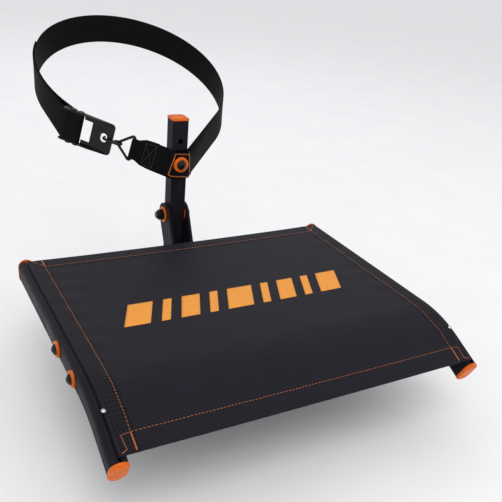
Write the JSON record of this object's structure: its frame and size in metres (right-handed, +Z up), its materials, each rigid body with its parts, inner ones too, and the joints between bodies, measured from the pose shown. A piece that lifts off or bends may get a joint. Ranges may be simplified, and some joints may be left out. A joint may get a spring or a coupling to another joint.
{
  "type": "tree seat",
  "caption": "Folding strap-on tree seat: mesh sling between two bent rails on a hinged frame, square post with toothed tree brace, and webbing trunk strap with buckle and hook.",
  "frame": {"origin": "on the back face of the post, on the seat's centre plane, at the height of the seat rails", "axes": "+X to the right seen from the front, +Y into the tree, +Z up"},
  "size_m": [0.5148, 0.7669, 0.412],
  "materials": {
    "powder_coat": "fine-textured black powder coat on steel tube and plate",
    "orange_plastic": "moulded orange plastic, satin",
    "black_hardware": "black-coated bolts, nuts, wire and pressed buckle",
    "webbing": "flat woven black webbing with orange stitching",
    "mesh_fabric": "charcoal coated mesh with sewn hems",
    "spline_plastic": "extruded black plastic rod",
    "rivet_aluminium": "plain domed rivet",
    "stop_rubber": "moulded black rubber"
  },
  "bodies": {
    "post": {"post_tube": "powder_coat", "post_top_cap": "orange_plastic", "post_foot_cap": "orange_plastic", "tree_brace": "powder_coat", "brace_bolts": "black_hardware", "strap_bolt": "black_hardware", "strap_washer": "orange_plastic", "strap_nut": "black_hardware", "strap_patch": "webbing", "strap_web": "webbing", "buckle_frame": "black_hardware", "buckle_pin": "black_hardware", "pivot_bolt": "black_hardware", "pivot_nut": "black_hardware", "pivot_outer_washers": "orange_plastic", "pivot_inner_washers": "orange_plastic"},
    "seat": {"left_arm": "powder_coat", "right_arm": "powder_coat", "stop_bolt": "black_hardware", "stop_sleeve": "stop_rubber", "stop_nut": "black_hardware", "cross_tube": "powder_coat", "left_end_plate": "powder_coat", "right_end_plate": "powder_coat", "left_rail": "powder_coat", "right_rail": "powder_coat", "left_rear_cap": "orange_plastic", "right_rear_cap": "orange_plastic", "left_front_cap": "orange_plastic", "right_front_cap": "orange_plastic", "left_spline": "spline_plastic", "right_spline": "spline_plastic", "spline_rivets": "rivet_aluminium", "rail_bolts": "black_hardware", "rail_washers": "orange_plastic", "rail_nuts": "black_hardware", "seat_fabric": "mesh_fabric"},
    "slider": {"buckle_slider": "black_hardware"},
    "ring": {"delta_ring": "black_hardware"},
    "hook": {"strap_hook": "black_hardware"}
  },
  "joints": [
    {"name": "seat_fold", "type": "hinge", "parent": "post", "child": "seat", "pos_m": [0, -0.0125, 0.0465], "axis": [-1, 0, 0], "range_deg": [0, 88]},
    {"name": "buckle_slide", "type": "slide", "parent": "post", "child": "slider", "axis": [-0.7704, 0.5899, 0.2419], "range_m": [0, 0.005]},
    {"name": "ring_swing", "type": "hinge", "parent": "post", "child": "ring", "pos_m": [-0.06107, 0.01264, 0.1458], "axis": [0.192, -0.1471, 0.9703], "range_deg": [0, 15]},
    {"name": "hook_swing", "type": "hinge", "parent": "ring", "child": "hook", "pos_m": [-0.07944, 0.02671, 0.15157], "axis": [0.192, -0.1471, 0.9703], "range_deg": [0, 60]}
  ]
}
